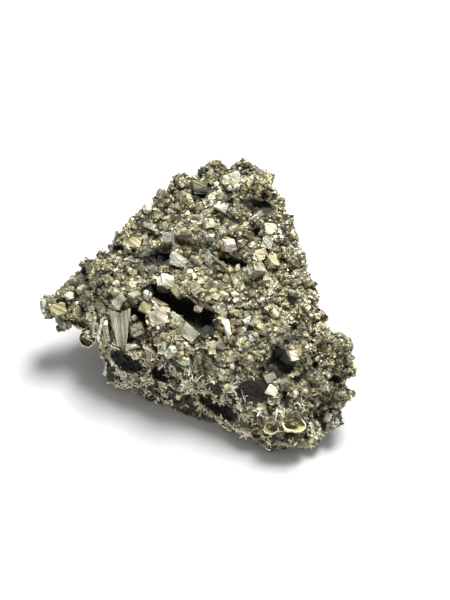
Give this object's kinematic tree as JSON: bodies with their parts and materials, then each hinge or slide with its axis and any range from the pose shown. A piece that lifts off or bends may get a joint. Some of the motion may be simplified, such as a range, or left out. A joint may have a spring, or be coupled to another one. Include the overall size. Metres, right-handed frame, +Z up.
{
  "type": "pyrite specimen",
  "caption": "Wedge-shaped lump of intergrown pyrite crystals with a spur at one side, lying on its broken underside.",
  "frame": {"origin": "centre of the bounding box in plan, on the plane that the specimen rests on", "axes": "+X along the longest side, away from the spur; +Y towards the high end of the wedge; +Z up"},
  "size_m": [0.0594, 0.0536, 0.0257],
  "materials": {
    "pyrite": "rough crystalline, metallic lustre"
  },
  "bodies": {
    "root": {"pyrite_cluster": "pyrite"}
  },
  "joints": []
}
